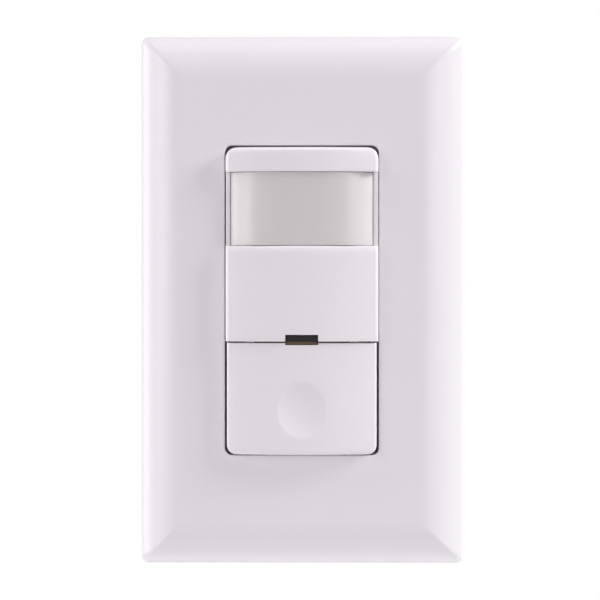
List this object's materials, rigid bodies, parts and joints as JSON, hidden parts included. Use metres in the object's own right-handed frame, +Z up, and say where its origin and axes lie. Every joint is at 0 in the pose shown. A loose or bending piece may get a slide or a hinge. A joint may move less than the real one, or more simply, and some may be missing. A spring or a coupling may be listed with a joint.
{
  "type": "motion sensor light switch",
  "caption": "In-wall occupancy sensor switch with a milky lens, a hinged push button, an indicator window and a screwless wall plate.",
  "frame": {"origin": "on the wall plane, midway between the two box screws", "axes": "+X to the right seen from the room, +Y into the wall along the box screws, +Z up"},
  "size_m": [0.0698, 0.0398, 0.1142],
  "materials": {
    "plate_plastic": "smooth white moulding, slight gloss",
    "sub_plate_plastic": "light grey moulding",
    "screw_zinc": "zinc plated",
    "strap_zinc": "zinc plated sheet steel",
    "screw_green": "green coated screw",
    "housing_plastic": "smooth white moulding, slight gloss",
    "lens_plastic": "milky polyethylene",
    "smoked_plastic": "smoked clear plastic",
    "button_plastic": "smooth white moulding, slight gloss",
    "board_green": "solder mask",
    "black_plastic": "black moulding",
    "nickel": "nickel plated can",
    "filter_dark": "coated silicon",
    "tinned": "tinned wire",
    "lamp_body": "moulded lamp",
    "light_sensor_body": "clear moulded sensor",
    "chip_black": "moulded chip",
    "plunger_plastic": "moulded plunger",
    "pin_gold": "gold plated pins",
    "relay_blue": "blue relay case",
    "film_yellow": "yellow capacitor case",
    "can_sleeve": "dark sleeve",
    "varistor_blue": "dipped coating",
    "resistor_tan": "coated resistor",
    "ferrite": "ferrite drum",
    "rear_plastic": "dark moulding",
    "brass_plate": "brass sheet",
    "clamp_zinc": "zinc plated",
    "brass_screw": "brass screws",
    "screw_silver": "nickel plated screw"
  },
  "bodies": {
    "base": {"wall_plate": "plate_plastic", "sub_plate": "sub_plate_plastic", "sub_plate_screws": "screw_zinc", "mounting_strap": "strap_zinc", "box_screws": "screw_zinc", "ground_screw": "screw_green", "front_housing": "housing_plastic", "sensor_lens": "lens_plastic", "indicator_light_pipe": "smoked_plastic", "control_board": "board_green", "pir_holder": "black_plastic", "pir_can": "nickel", "pir_filter": "filter_dark", "pir_leads": "tinned", "indicator_lamp": "lamp_body", "light_sensor": "light_sensor_body", "controller_chip": "chip_black", "tact_switch_base": "black_plastic", "tact_switch_cover": "nickel", "board_header": "black_plastic", "header_pins": "pin_gold", "power_board": "board_green", "relay": "relay_blue", "film_capacitor": "film_yellow", "electrolytic_capacitors": "can_sleeve", "varistor": "varistor_blue", "fuse_resistor": "resistor_tan", "choke": "ferrite", "bridge_rectifier": "chip_black", "rear_housing": "rear_plastic", "housing_screws": "screw_zinc", "terminal_plates": "brass_plate", "wire_clamps": "clamp_zinc", "hot_terminal_screws": "brass_screw", "neutral_terminal_screw": "screw_silver"},
    "button": {"push_button": "button_plastic"},
    "plunger": {"tact_switch_plunger": "plunger_plastic"}
  },
  "joints": [
    {"name": "button_press", "type": "hinge", "parent": "base", "child": "button", "pos_m": [0, -0.0072, -0.0062], "axis": [1, 0, 0], "range_deg": [0, 2], "stiffness_Nm_per_rad": 0.2},
    {"name": "plunger_travel", "type": "slide", "parent": "base", "child": "plunger", "axis": [0, 1, 0], "range_m": [0, 0.00065]}
  ],
  "couplings": [
    {"joint": "plunger_travel", "follows": "button_press", "m_per_rad": 0.0148}
  ]
}
